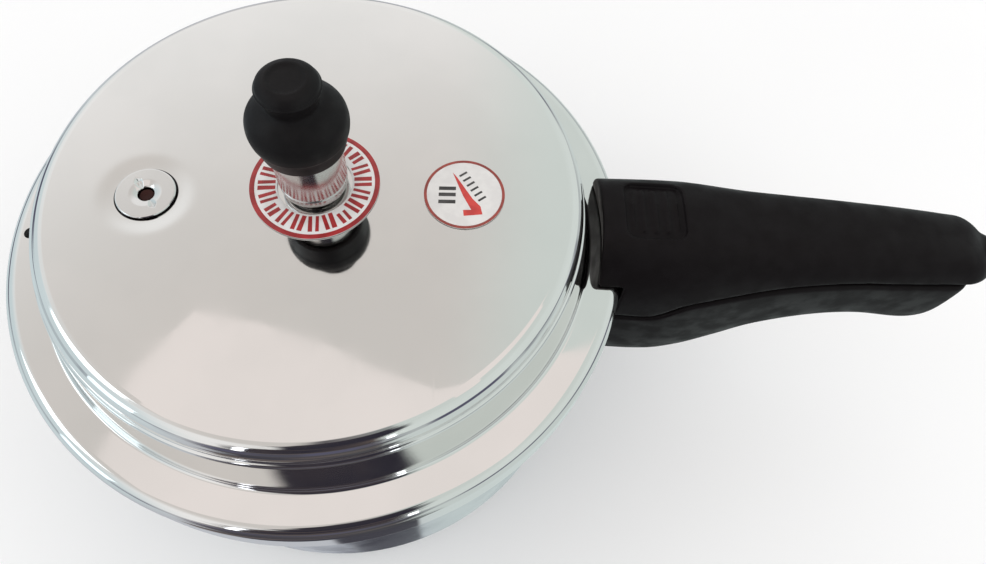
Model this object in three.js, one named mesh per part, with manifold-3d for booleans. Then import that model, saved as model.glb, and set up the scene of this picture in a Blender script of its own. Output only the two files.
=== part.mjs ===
// Stovetop pressure cooker with an outer bayonet lid, a lifting weight and a pair of mating handles.
// Millimetres, +Z up. The origin is the centre of the pot's flat base; the handles point along +X.
// Stored closed and locked: lid on, both handles in line, weight seated on its vent.
import * as THREE from 'three';
import { mergeVertices } from 'three/addons/utils/BufferGeometryUtils.js';
import { ParametricGeometry } from 'three/addons/geometries/ParametricGeometry.js';
import Module from 'manifold-3d';

const wasm = await Module();
wasm.setup();

// ---------- Driving dimensions ----------
const GAP = 0.3;                 // between two pieces that touch
const TURN_GAP = 0.8;            // between the lid and what it turns round
const ROUND_STEPS = 72;          // facets round the pot and the lid
const SMALL_STEPS = 28;          // facets round the small turned pieces

// Lid, pressed from sheet
const LID_R = 112;               // outside of the skirt, the widest circle
const LID_WALL = 2.2;
const LID_EDGE_R = 4.6;          // rounding between skirt and flange
const LID_FLANGE = 10;           // flat flange, from the edge rounding in to the foot of the step
const STEP_RISE = 17.1;          // flange to the crease at the top of the step
const STEP_LEAN = 4;             // how far the step leans in over that rise
const SHOULDER_RISE = 7.4;       // crease to the flat top
const SHOULDER_RUN = 4.9;        // crease to the edge of the flat top
const RELEASE_HOLE_R = 2.3;      // hole through which the gasket gives way
const RELEASE_HOLE_OUT = 6.8;    // its centre beyond the foot of the step
const RELEASE_HOLE_ANGLE = 185.5;

// Bayonet
const LUGS = 4;
const LUG_ANGLE = 36;            // degrees that one lug spans
const LUG_REACH = 4;             // pot lug beyond the pot's wall
const LUG_THICK = 3.5;           // lid lug
const LUG_SLACK = 0.5;           // between a lid lug and the pot lug above it

// Pot
const POT_H = 112;               // base to the top of the rim
const POT_WALL = 3;
const POT_BASE = 4;
const POT_CORNER_R = 12;
const RIM_THICK = 4;

const GASKET_H = 7.8;
const GASKET_W = 9;

// Handles: sections stand on the X axis, and x is counted from the lid's edge
const HANDLE_REACH = 146;        // lid edge to the tip of the lid handle
const POT_TIP_SHORT = 9;         // the pot handle ends this much earlier
const HANDLE_SQUARE = 3.2;       // power of the rounded-square section
const PARTING_GAP = 1.6;         // between the two handles
const FRONT_IN = 8.7;            // front face of the lid handle inside the lid's edge
const FRONT_LEAN = 2.3;
const NUB_R = 7.5;               // rounded end nub on the lid handle
const NUB_OUT = 5;
const LID_TIP_ROUND = 17;        // length of the rounding at a handle's tip
const POT_TIP_ROUND = 9;
// Sunk panel on top of the lid handle
const PANEL = { x: -2.5, y: 2.5, low: 9, length: 22, width: 24, depth: 1, corner: 4 };

// Brackets, rivets and screws
const BRACKET_T = 2.2;
const PLATE_HALF_ANGLE = 9;
const TONGUE_W = 12;
const TONGUE_T = 5;
const RIVET_R = 2;
const RIVET_HEAD_R = 3.6;
const RIVET_HEAD_H = 1.6;
const RIVET_SIDE = 11;           // rivet axis to the handle's middle plane
const SCREW_R = 2;
const SCREW_HEAD_R = 4;
const SCREW_HEAD_H = 2.4;

// Vent in the middle of the lid
const VENT_R = 4.5;
const VENT_BORE_R = 1.4;
const VENT_SHOULDER_R = 8.5;
const VENT_SHOULDER_H = 1.3;
const VENT_H = 20.5;             // lid top to the seat of the weight
const SHANK_R = 5;               // threaded shank below the lid, vent and plug alike
const WASHER_R = 9;
const WASHER_T = 1.5;
const NUT_FLATS_R = 9;           // corner radius of the nuts
const NUT_T = 5;
const LABEL_T = 0.3;
const VENT_LABEL_R = 21.9;
const VENT_LABEL_IN_R = 12.6;

// Fusible safety plug
const PLUG = { x: -55.1, y: -6.8, headR: 9.75, headT: 1.6, slotAngle: -53 };
const DIMPLE_R = PLUG.headR + 0.6;
const DIMPLE_DEPTH = 1.3;
const FUSE_R = 2.4;
const SLOT = { length: 14, width: 2.4, depth: 0.9 };   // across the plug's head

// Round inspection label
const INSPECTION = { x: 50.9, y: -1.5, r: 13.9 };

// Weight
const WEIGHT_R = 11.6;
const WEIGHT_LIFT_GAP = 1.9;     // lid top to the underside of the weight
const WEIGHT_ABOVE_SEAT = 14.2;  // top of the weight's body above the vent's seat
const WEIGHT_BORE_GAP = 0.7;     // round the vent
const PIN_R = 2.2;
const PIN_POINT_R = 1.1;
const CLIP_W = 1.5;
const CLIP_T = 1.2;
const CLIP_UP = 3;               // clip above the underside of the weight
const COVER = { socket: 11.2, height: 28, edge: 1.6, belly: 3.9, waistR: 8.2, knobR: 9.7, dish: 0.8 };

// ---------- Derived places ----------
const SKIRT_IN_R = LID_R - LID_WALL;
const RIM_R = SKIRT_IN_R - TURN_GAP;
const POT_R = RIM_R - LUG_REACH;
const LID_LUG_R = POT_R + TURN_GAP;
const FLANGE_UNDER = POT_H + GASKET_H + 2 * GAP;
const FLANGE_TOP = FLANGE_UNDER + LID_WALL;
const LID_WIDE_Z = FLANGE_TOP - LID_EDGE_R;
const LUG_TOP = POT_H - RIM_THICK - LUG_SLACK;
const SKIRT_BOTTOM = LUG_TOP - LUG_THICK;
const FOOT_R = LID_R - LID_EDGE_R - LID_FLANGE;
const CREASE_R = FOOT_R - STEP_LEAN;
const CREASE_Z = FLANGE_TOP + STEP_RISE;
const TOP_R = CREASE_R - SHOULDER_RUN;
const LID_TOP = CREASE_Z + SHOULDER_RISE;
const LID_UNDER = LID_TOP - LID_WALL;
const HOLE_R = SHANK_R + GAP;
const RIVET_HOLE_R = RIVET_R + GAP;
const WEIGHT_Z = LID_TOP + WEIGHT_LIFT_GAP;
const VENT_SEAT_Z = LID_TOP + VENT_H;
const WEIGHT_TOP = VENT_SEAT_Z + WEIGHT_ABOVE_SEAT;

// ---------- Solids ----------
// A closed three.js geometry as a manifold solid.
function solid(geometry) {
  const bare = new THREE.BufferGeometry();
  bare.setAttribute('position', geometry.getAttribute('position').clone());
  if (geometry.index) bare.setIndex(geometry.index.clone());
  const merged = mergeVertices(bare, 1e-4);
  const index = merged.index.array;
  const kept = [];
  for (let i = 0; i < index.length; i += 3) {
    const [a, b, c] = [index[i], index[i + 1], index[i + 2]];
    if (a !== b && b !== c && c !== a) kept.push(a, b, c);
  }
  const vertProperties = new Float32Array(merged.getAttribute('position').array);
  return new wasm.Manifold(new wasm.Mesh({ numProp: 3, vertProperties, triVerts: new Uint32Array(kept) }));
}

// A manifold solid as a three.js geometry.
function geometryOf(body) {
  const mesh = body.getMesh();
  const geometry = new THREE.BufferGeometry();
  geometry.setAttribute('position', new THREE.BufferAttribute(mesh.vertProperties, 3));
  geometry.setIndex(new THREE.BufferAttribute(mesh.triVerts, 1));
  geometry.computeVertexNormals();
  return geometry;
}

// A body of revolution about Z. The outline is (radius, height) pairs with its outer side going up;
// it runs from axis to axis, or closes on itself where it doesn't start on the axis.
function turned(outline, steps = SMALL_STEPS) {
  const points = outline.map(([r, z]) => new THREE.Vector2(r, z));
  if (outline[0][0] > 0) points.push(points[0].clone());
  return solid(new THREE.LatheGeometry(points, steps).rotateX(Math.PI / 2));
}

const disc = (r, low, high, steps) => turned([[0, low], [r, low], [r, high], [0, high]], steps);

function ring(inR, outR, low, high, steps) {
  return turned([[inR, low], [outR, low], [outR, high], [inR, high]], steps);
}

function box(length, width, height, x, y, z) {
  return solid(new THREE.BoxGeometry(length, width, height).translate(x, y, z));
}

// Points of an arc in the (radius, height) plane, angles in degrees.
function arc(centreR, centreZ, radius, from, to, steps) {
  const points = [];
  for (let i = 0; i <= steps; i += 1) {
    const a = THREE.MathUtils.degToRad(from + (to - from) * i / steps);
    points.push([centreR + radius * Math.cos(a), centreZ + radius * Math.sin(a)]);
  }
  return points;
}

// A wedge of the space round Z, wide and tall enough to cut any flange.
function sector(halfAngle, reach, low, high) {
  const shape = new THREE.Shape();
  const steps = 8;
  shape.moveTo(0, 0);
  for (let i = 0; i <= steps; i += 1) {
    const a = THREE.MathUtils.degToRad(-halfAngle + 2 * halfAngle * i / steps);
    shape.lineTo(reach * Math.cos(a), reach * Math.sin(a));
  }
  const slab = new THREE.ExtrudeGeometry(shape, { depth: high - low, bevelEnabled: false });
  return solid(slab.translate(0, 0, low));
}

// Turn a solid whose axis is Z to point outwards along +X, then carry it to its angle and height.
const radial = (body, angle, z) => body.rotate([0, 90, 0]).rotate([0, 0, angle]).translate([0, 0, z]);

function hexagon(cornerR, low, high) {
  return solid(new THREE.CylinderGeometry(cornerR, cornerR, high - low, 6)
    .rotateX(Math.PI / 2).translate(0, 0, (low + high) / 2));
}

// A smooth height or width along a line of places, from a few points.
function curveThrough(points) {
  const spline = new THREE.SplineCurve(points.map(([x, y]) => new THREE.Vector2(x, y)));
  const samples = spline.getPoints(80);
  return (x) => {
    const next = samples.findIndex((p) => p.x >= x);
    if (next === 0) return samples[0].y;
    if (next < 0) return samples[samples.length - 1].y;
    const [a, b] = [samples[next - 1], samples[next]];
    return a.y + (b.y - a.y) * (x - a.x) / (b.x - a.x);
  };
}

// ---------- Pot ----------
const rivetAngle = (radius) => THREE.MathUtils.radToDeg(Math.asin(RIVET_SIDE / radius));
const POT_RIVET_Z = LID_WIDE_Z - 42;
const POT_TONGUE_Z = LID_WIDE_Z - 34;
const POT_PLATE = { low: LID_WIDE_Z - 52, high: LID_WIDE_Z - 26 };

function potBody() {
  const inR = POT_R - POT_WALL;
  const inCornerR = POT_CORNER_R - POT_WALL;
  const shell = turned([
    [0, 0],
    ...arc(POT_R - POT_CORNER_R, POT_CORNER_R, POT_CORNER_R, -90, 0, 6),
    [POT_R, POT_H - RIM_THICK],
    [RIM_R, POT_H - RIM_THICK],
    [RIM_R, POT_H],
    [inR, POT_H],
    ...arc(inR - inCornerR, POT_BASE + inCornerR, inCornerR, 0, -90, 5),
    [0, POT_BASE],
  ], ROUND_STEPS);
  // Between its lugs the rim is cut back almost to the wall.
  const cutback = ring(POT_R + GAP, RIM_R + 2, POT_H - RIM_THICK - 1, POT_H + 1, ROUND_STEPS);
  let pot = shell;
  for (let i = 0; i < LUGS; i += 1) {
    const notch = sector(180 / LUGS - LUG_ANGLE / 2, 2 * RIM_R, 0, 2 * POT_H);
    pot = pot.subtract(cutback.intersect(notch.rotate([0, 0, (i + 0.5) * 360 / LUGS])));
  }
  for (const side of [-1, 1]) {
    const hole = radial(disc(RIVET_HOLE_R, inR - 5, POT_R + 5, 16), side * rivetAngle(POT_R), POT_RIVET_Z);
    pot = pot.subtract(hole);
  }
  return pot;
}

// A riveted bracket: a curved plate against a wall of radius wallR, with a tongue standing out of it.
function bracket(wallR, low, high, tongueZ, tongueEnd, screwX, rivetZ) {
  const inR = wallR + GAP;
  const outR = inR + BRACKET_T;
  const plate = ring(inR, outR, low, high, ROUND_STEPS)
    .intersect(sector(PLATE_HALF_ANGLE, 2 * wallR, low - 1, high + 1));
  const tongueStart = inR + BRACKET_T / 3;
  const tongue = box(tongueEnd - tongueStart, TONGUE_W, TONGUE_T, (tongueEnd + tongueStart) / 2, 0, tongueZ);
  const screwHole = disc(SCREW_R + GAP, tongueZ - TONGUE_T, tongueZ + TONGUE_T, 16).translate([screwX, 0, 0]);
  let body = plate.add(tongue).subtract(screwHole);
  for (const side of [-1, 1]) {
    const hole = disc(RIVET_HOLE_R, wallR - 5, wallR + 10, 16);
    body = body.subtract(radial(hole, side * rivetAngle(wallR), rivetZ));
  }
  return body;
}

// A rivet along X through a wall: a domed head outside, and a domed or a flush end inside.
function rivet(innerEnd, outerFace, domedInside) {
  const dome = (from, way) => [
    [RIVET_HEAD_R, from],
    [RIVET_HEAD_R * 0.8, from + way * RIVET_HEAD_H * 0.7],
    [0, from + way * RIVET_HEAD_H],
  ];
  const head = [[RIVET_R, outerFace + GAP], ...dome(outerFace + GAP, 1)];
  if (!domedInside) return turned([[0, innerEnd], [RIVET_R, innerEnd], ...head], 20);
  return turned([...dome(innerEnd - GAP, -1).reverse(), [RIVET_R, innerEnd - GAP], ...head], 20);
}

// ---------- Handles ----------
const fromEdge = (points) => points.map(([x, value]) => [x + LID_R, value]);
const TIP_X = LID_R + HANDLE_REACH;
const handleTop = curveThrough(fromEdge([[-12, 20], [18, 19.4], [48, 17], [88, 15.4], [122, 13.4],
  [HANDLE_REACH, 9]]));
const handleHalfWidth = curveThrough(fromEdge([[-12, 25], [14, 26], [30, 25.4], [58, 21.6], [90, 18.8],
  [125, 17], [HANDLE_REACH, 15.5]]));
const handleBottom = curveThrough(fromEdge([[-30, -65], [14, -65], [32, -60], [46, -50.5], [60, -39],
  [80, -30.5], [100, -28.5], [124, -33], [134, -24], [HANDLE_REACH, -12]]));
const parting = curveThrough(fromEdge([[-30, -15], [2, -15], [14, -14.6], [19, -12], [26, -5.5], [34, -2.5],
  [48, 0.6], [64, 3.4], [86, 4.6], [108, 3.6], [HANDLE_REACH + 20, 1]]));

// The two handles together are one rounded-square bar that ends in a rounded tip.
function handleEnvelope(tipX, tipRound) {
  const startX = LID_R - 30;
  const roundX = tipX - tipRound;
  const straightSteps = 16;
  const roundSteps = 6;
  const steps = straightSteps + roundSteps + 1;
  const station = (k) => {
    if (k === 0) return { x: startX, size: 0 };
    if (k <= straightSteps) return { x: startX + (roundX - startX) * (k - 1) / (straightSteps - 1), size: 1 };
    const a = (k - straightSteps) / (roundSteps + 1) * Math.PI / 2;
    return { x: roundX + (tipX - roundX) * Math.sin(a) ** 0.9, size: Math.cos(a) ** 0.9 };
  };
  const rounded = (value) => Math.sign(value) * Math.abs(value) ** (2 / HANDLE_SQUARE);
  const surface = (u, v, target) => {
    const { x, size } = station(Math.round(v * steps));
    const a = u * 2 * Math.PI;
    const middle = (handleTop(x) + handleBottom(x)) / 2;
    const half = (handleTop(x) - handleBottom(x)) / 2;
    const closing = size < 1e-6 ? 0 : size;
    target.set(
      x,
      handleHalfWidth(x) * closing * rounded(Math.cos(a)),
      LID_WIDE_Z + middle + half * closing * rounded(Math.sin(a)),
    );
  };
  return solid(new ParametricGeometry(surface, 24, steps));
}

// Everything above or below the surface where the two handles meet. It depends on the radius alone,
// so the lid handle turns over the pot handle without touching it.
function partedSpace(offset, farZ) {
  const steps = 30;
  const nearR = LID_R - 40;
  const farR = TIP_X + 20;
  const line = [];
  for (let i = 0; i <= steps; i += 1) {
    const r = nearR + (farR - nearR) * i / steps;
    line.push([r, LID_WIDE_Z + parting(r) + offset]);
  }
  if (farZ > 0) return turned([...line, [farR, farZ], [nearR, farZ]], ROUND_STEPS);
  return turned([...line.reverse(), [nearR, farZ], [farR, farZ]], ROUND_STEPS);
}

// What a handle leaves free round its bracket: the plate, the tongue's slot, the rivet heads and the screw.
function bracketRoom(wallR, tongueZ, tongueEnd, screw, rivetZ) {
  const start = wallR - 5;
  const end = tongueEnd + GAP;
  const plateRoom = ring(start, wallR + BRACKET_T + 2 * GAP, 0, FLANGE_TOP + GAP, ROUND_STEPS)
    .intersect(sector(PLATE_HALF_ANGLE + 1, 2 * wallR, 0, LID_TOP));
  const tongueWidth = TONGUE_W + 2 * GAP;
  const tongueHeight = TONGUE_T + 2 * GAP;
  let room = plateRoom.add(box(end - start, tongueWidth, tongueHeight, (start + end) / 2, 0, tongueZ));
  room = room.add(disc(SCREW_R + GAP, screw.seat, screw.top + 1, 16).translate([screw.x, 0, 0]));
  room = room.add(disc(SCREW_HEAD_R + GAP, 0, screw.seat, 20).translate([screw.x, 0, 0]));
  const headRoom = disc(RIVET_HEAD_R + 1, start, wallR + BRACKET_T + RIVET_HEAD_H + 4 * GAP, 16);
  for (const side of [-1, 1]) room = room.add(radial(headRoom, side * rivetAngle(wallR), rivetZ));
  return room;
}

const LID_TONGUE_Z = LID_WIDE_Z - 3.6;
const LID_TONGUE_END = LID_R + 22;
const LID_RIVET_Z = LID_WIDE_Z - 7;
const lidScrew = { x: LID_R + 13, seat: LID_WIDE_Z - 10.5, top: LID_WIDE_Z - 1.6 };
const POT_TONGUE_END = LID_R + 40;
const potScrew = { x: LID_R + 30, seat: LID_WIDE_Z - 46, top: POT_TONGUE_Z + TONGUE_T };

function lidHandle() {
  const frontR = LID_R - FRONT_IN;
  const skirtR = LID_R + 2 * GAP;
  const seatZ = FLANGE_TOP + GAP;
  const faceTop = seatZ + 40;
  const lidRoom = turned([
    [0, 0],
    [skirtR, 0],
    [skirtR, seatZ],
    [frontR, seatZ],
    [frontR - FRONT_LEAN, seatZ + 14],
    [frontR - FRONT_LEAN * 2, faceTop],
    [0, faceTop],
  ], ROUND_STEPS);
  const nub = solid(new THREE.SphereGeometry(NUB_R, 16, 10))
    .translate([TIP_X - NUB_R + NUB_OUT, 0, LID_WIDE_Z + 0.5]);
  const shape = new THREE.Shape();
  const { length, width, corner } = PANEL;
  shape.moveTo(corner, -width / 2);
  shape.absarc(length - corner, -width / 2 + corner, corner, -Math.PI / 2, 0, false);
  shape.absarc(length - corner, width / 2 - corner, corner, 0, Math.PI / 2, false);
  shape.absarc(corner, width / 2 - corner, corner, Math.PI / 2, Math.PI, false);
  shape.absarc(corner, -width / 2 + corner, corner, Math.PI, Math.PI * 1.5, false);
  const outline = new THREE.ExtrudeGeometry(shape, { depth: 20, bevelEnabled: false, curveSegments: 4 });
  const bar = handleEnvelope(TIP_X, LID_TIP_ROUND);
  const panelCut = solid(outline.translate(LID_R + PANEL.x, PANEL.y, LID_WIDE_Z + PANEL.low))
    .subtract(bar.translate([0, 0, -PANEL.depth]));
  return bar.add(nub)
    .intersect(partedSpace(PARTING_GAP / 2, 2 * LID_TOP))
    .subtract(lidRoom)
    .subtract(panelCut)
    .subtract(bracketRoom(LID_R, LID_TONGUE_Z, LID_TONGUE_END, lidScrew, LID_RIVET_Z));
}

function potHandle() {
  const wallRoom = disc(POT_R + 2 * GAP, -LID_TOP, 2 * LID_TOP, ROUND_STEPS);
  return handleEnvelope(TIP_X - POT_TIP_SHORT, POT_TIP_ROUND)
    .intersect(partedSpace(-PARTING_GAP / 2, -LID_TOP))
    .subtract(wallRoom)
    .subtract(bracketRoom(POT_R, POT_TONGUE_Z, POT_TONGUE_END, potScrew, POT_RIVET_Z));
}

// A slotted screw that goes up into its bracket.
function screw({ x, seat, top }) {
  const headTop = seat - GAP;
  const body = turned([
    [0, headTop - SCREW_HEAD_H],
    [SCREW_HEAD_R * 0.8, headTop - SCREW_HEAD_H],
    [SCREW_HEAD_R, headTop - SCREW_HEAD_H * 0.6],
    [SCREW_HEAD_R, headTop],
    [SCREW_R, headTop],
    [SCREW_R, top],
    [0, top],
  ], 20);
  const slot = box(2 * SCREW_HEAD_R + 2, 1, 1.6, 0, 0, headTop - SCREW_HEAD_H);
  return body.subtract(slot).translate([x, 0, 0]);
}

// ---------- Lid ----------
function lidBody() {
  const edgeR = LID_R - LID_EDGE_R;
  const inFootR = FOOT_R - LID_WALL;
  const inCreaseR = CREASE_R - LID_WALL;
  const shell = turned([
    [SKIRT_IN_R, SKIRT_BOTTOM],
    [LID_R, SKIRT_BOTTOM],
    ...arc(edgeR, LID_WIDE_Z, LID_EDGE_R, 0, 90, 5),
    [FOOT_R + 3, FLANGE_TOP],
    [FOOT_R, FLANGE_TOP + 2],
    [CREASE_R, CREASE_Z],
    [CREASE_R - 0.2 * SHOULDER_RUN, CREASE_Z + 0.55 * SHOULDER_RISE],
    [CREASE_R - 0.5 * SHOULDER_RUN, CREASE_Z + 0.85 * SHOULDER_RISE],
    [TOP_R, LID_TOP],
    [0, LID_TOP],
    [0, LID_UNDER],
    [TOP_R, LID_UNDER],
    [inCreaseR, CREASE_Z],
    [inFootR, FLANGE_UNDER + 2],
    [inFootR + 2, FLANGE_UNDER],
    [SKIRT_IN_R, FLANGE_UNDER],
    [SKIRT_IN_R, SKIRT_BOTTOM],
  ], ROUND_STEPS);
  const lugRing = ring(LID_LUG_R, SKIRT_IN_R + LID_WALL / 2, LUG_TOP - LUG_THICK, LUG_TOP, ROUND_STEPS);
  let lid = shell;
  for (let i = 0; i < LUGS; i += 1) {
    const wedge = sector(LUG_ANGLE / 2, 2 * LID_R, 0, 2 * LID_TOP).rotate([0, 0, i * 360 / LUGS]);
    lid = lid.add(lugRing.intersect(wedge));
  }
  const backing = disc(DIMPLE_R + LID_WALL, LID_UNDER - DIMPLE_DEPTH, LID_UNDER + 1);
  const pocket = disc(DIMPLE_R, LID_TOP - DIMPLE_DEPTH, LID_TOP + 5);
  const plugHole = disc(HOLE_R, LID_UNDER - 10, LID_TOP + 5);
  lid = lid.add(backing.translate([PLUG.x, PLUG.y, 0]));
  lid = lid.subtract(pocket.add(plugHole).translate([PLUG.x, PLUG.y, 0]));
  lid = lid.subtract(disc(HOLE_R, LID_UNDER - 5, LID_TOP + 5));
  const a = THREE.MathUtils.degToRad(RELEASE_HOLE_ANGLE);
  const holeAt = FOOT_R + RELEASE_HOLE_OUT;
  const release = disc(RELEASE_HOLE_R, FLANGE_UNDER - 5, FLANGE_TOP + 5, 16);
  lid = lid.subtract(release.translate([holeAt * Math.cos(a), holeAt * Math.sin(a), 0]));
  for (const side of [-1, 1]) {
    const hole = disc(RIVET_HOLE_R, SKIRT_IN_R - 3, LID_R + 3, 16);
    lid = lid.subtract(radial(hole, side * rivetAngle(LID_R), LID_RIVET_Z));
  }
  return lid;
}

function gasket() {
  const outR = SKIRT_IN_R - GAP;
  const inR = outR - GASKET_W;
  const low = POT_H + GAP;
  const high = FLANGE_UNDER - GAP;
  const lip = 1.8;
  return turned([
    [inR + lip, low],
    [outR, low],
    [outR, high],
    [inR + lip, high],
    [inR, high - 1],
    [inR + 2 * lip, (low + high) / 2],
    [inR, low + 1],
  ], ROUND_STEPS);
}

// ---------- Vent and safety plug ----------
const nutTop = (under) => under - GAP - WASHER_T - GAP;
const shankEnd = (under) => nutTop(under) - NUT_T - 1;

function ventTube() {
  const base = LID_TOP + GAP;
  return turned([
    [VENT_BORE_R, shankEnd(LID_UNDER)],
    [SHANK_R, shankEnd(LID_UNDER)],
    [SHANK_R, base],
    [VENT_SHOULDER_R, base],
    [VENT_SHOULDER_R, base + VENT_SHOULDER_H - GAP - 0.4],
    [VENT_R, base + VENT_SHOULDER_H - GAP],
    [VENT_R, VENT_SEAT_Z - 1],
    [VENT_R - 1, VENT_SEAT_Z],
    [VENT_BORE_R, VENT_SEAT_Z],
  ]);
}

const washer = (under) => ring(HOLE_R, WASHER_R, under - GAP - WASHER_T, under - GAP);

function nut(under) {
  const top = nutTop(under);
  return hexagon(NUT_FLATS_R, top - NUT_T, top).subtract(disc(HOLE_R, top - NUT_T - 1, top + 1));
}

const PLUG_UNDER = LID_UNDER - DIMPLE_DEPTH;
const PLUG_SEAT = LID_TOP - DIMPLE_DEPTH + GAP;

function safetyPlug() {
  const top = PLUG_SEAT + PLUG.headT;
  const end = shankEnd(PLUG_UNDER);
  const body = turned([
    [FUSE_R + GAP, end],
    [SHANK_R, end],
    [SHANK_R, PLUG_SEAT],
    [PLUG.headR, PLUG_SEAT],
    [PLUG.headR, top - 0.5],
    [PLUG.headR - 0.5, top],
    [FUSE_R + GAP + 1.2, top],
    [FUSE_R + GAP, top - 0.8],
  ]);
  const slot = box(SLOT.length, SLOT.width, 2 * SLOT.depth, 0, 0, top).rotate([0, 0, PLUG.slotAngle]);
  return body.subtract(slot);
}

const safetyFuse = () => disc(FUSE_R, shankEnd(PLUG_UNDER), PLUG_SEAT + PLUG.headT - 1.2, 20);

// ---------- Weight ----------
const CLIP_Z = WEIGHT_Z + CLIP_UP;
const PIN_TIP_Z = VENT_SEAT_Z - 1.2;
const COVER_Z = WEIGHT_TOP - COVER.socket;
const COVER_TOP_Z = COVER_Z + COVER.height;

const retainingClip = () => ring(VENT_R + GAP, VENT_R + GAP + CLIP_W, CLIP_Z, CLIP_Z + CLIP_T, 24);

function weightBody() {
  const boreR = VENT_R + WEIGHT_BORE_GAP;
  const grooveR = VENT_R + CLIP_W + 2 * GAP;
  const boreTop = VENT_SEAT_Z + 1.6;
  const pinHoleR = PIN_R + GAP;
  return turned([
    [boreR, WEIGHT_Z],
    [WEIGHT_R - 1, WEIGHT_Z],
    [WEIGHT_R, WEIGHT_Z + 1],
    [WEIGHT_R, WEIGHT_TOP],
    [pinHoleR, WEIGHT_TOP],
    [pinHoleR, boreTop],
    [boreR, boreTop],
    [boreR, CLIP_Z + CLIP_T + GAP],
    [grooveR, CLIP_Z + CLIP_T + GAP],
    [grooveR, CLIP_Z - GAP],
    [boreR, CLIP_Z - GAP],
  ]);
}

function valvePin() {
  return turned([
    [0, PIN_TIP_Z],
    [PIN_POINT_R, PIN_TIP_Z + 1.5],
    [PIN_R, PIN_TIP_Z + 3.4],
    [PIN_R, WEIGHT_TOP - 1],
    [0, WEIGHT_TOP - 1],
  ], 20);
}

function weightCover() {
  const socketR = WEIGHT_R + GAP;
  const socketTop = WEIGHT_TOP + GAP;
  const { height, knobR, waistR } = COVER;
  const bellyR = WEIGHT_R + COVER.belly;
  return turned([
    [socketR, COVER_Z],
    [WEIGHT_R + COVER.edge, COVER_Z],
    [bellyR - 1.2, COVER_Z + 0.12 * height],
    [bellyR - 0.3, COVER_Z + 0.25 * height],
    [bellyR, COVER_Z + 0.36 * height],
    [bellyR - 0.9, COVER_Z + 0.47 * height],
    [waistR + 3.4, COVER_Z + 0.575 * height],
    [waistR + 0.4, COVER_Z + 0.65 * height],
    [waistR, COVER_Z + 0.7 * height],
    [knobR - 0.6, COVER_Z + 0.8 * height],
    [knobR, COVER_Z + 0.88 * height],
    [knobR - 0.6, COVER_Z + 0.93 * height],
    [knobR - 2.2, COVER_Z + 0.98 * height],
    [knobR - 3.7, COVER_TOP_Z],
    [0, COVER_TOP_Z - COVER.dish],
    [0, socketTop],
    [socketR, socketTop],
  ]);
}

// ---------- Assembly ----------
function material(color, roughness, metalness) {
  return new THREE.MeshStandardMaterial({ color, roughness, metalness });
}

const aluminium = material(0xd6d2ce, 0.12, 1);
const steel = material(0xc4c2c0, 0.18, 1);
const phenolic = material(0x1c1d1f, 0.6, 0);
const rubber = material(0x2a2a2b, 0.8, 0);
const brass = material(0xb99a56, 0.3, 1);
const alloy = material(0x6a3f38, 0.5, 0.6);
const labelRed = material(0xb02a2c, 0.5, 0);
const labelClear = material(0xdcd8d4, 0.35, 0);

const cooker = new THREE.Group();

function place(name, body, look, x = 0, y = 0) {
  const mesh = new THREE.Mesh(geometryOf(body), look);
  mesh.name = name;
  mesh.position.set(x, y, 0);
  cooker.add(mesh);
}

function placeRivets(name, wallR, z, body) {
  for (const [sideName, side] of [['left', 1], ['right', -1]]) {
    place(`${name}_${sideName}`, radial(body, side * rivetAngle(wallR), z), aluminium);
  }
}

place('pot_body', potBody(), aluminium);
place('pot_handle_bracket', bracket(POT_R, POT_PLATE.low, POT_PLATE.high, POT_TONGUE_Z, POT_TONGUE_END,
  potScrew.x, POT_RIVET_Z), aluminium);
placeRivets('pot_rivet', POT_R, POT_RIVET_Z, rivet(POT_R - POT_WALL, POT_R + GAP + BRACKET_T, true));
place('pot_handle', potHandle(), phenolic);
place('pot_handle_screw', screw(potScrew), steel);

place('gasket', gasket(), rubber);

place('lid', lidBody(), aluminium);
place('lid_handle_bracket', bracket(LID_R, SKIRT_BOTTOM + 1, LID_WIDE_Z - 0.2, LID_TONGUE_Z, LID_TONGUE_END,
  lidScrew.x, LID_RIVET_Z), aluminium);
placeRivets('lid_rivet', LID_R, LID_RIVET_Z, rivet(SKIRT_IN_R + GAP, LID_R + GAP + BRACKET_T, false));
place('lid_handle', lidHandle(), phenolic);
place('lid_handle_screw', screw(lidScrew), steel);
place('vent_tube', ventTube(), steel);
place('vent_washer', washer(LID_UNDER), rubber);
place('vent_nut', nut(LID_UNDER), brass);
const LABEL_Z = LID_TOP + GAP;
place('vent_label', ring(VENT_LABEL_IN_R, VENT_LABEL_R, LABEL_Z, LABEL_Z + LABEL_T, 40), labelRed);
place('inspection_label', disc(INSPECTION.r, LABEL_Z, LABEL_Z + LABEL_T, 32), labelClear,
  INSPECTION.x, INSPECTION.y);
place('safety_plug', safetyPlug(), steel, PLUG.x, PLUG.y);
place('safety_fuse', safetyFuse(), alloy, PLUG.x, PLUG.y);
place('safety_washer', washer(PLUG_UNDER), rubber, PLUG.x, PLUG.y);
place('safety_nut', nut(PLUG_UNDER), steel, PLUG.x, PLUG.y);

place('retaining_clip', retainingClip(), steel);
place('valve_pin', valvePin(), steel);
place('weight_body', weightBody(), steel);
place('weight_cover', weightCover(), phenolic);

export default cooker;
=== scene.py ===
"""Stovetop pressure cooker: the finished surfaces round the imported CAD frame.

Outlines and sizes are in millimetres, and become metres where a mesh is made.
"""
import math

import bmesh
import bpy
import numpy as np
from mathutils import Matrix, Vector


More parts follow.
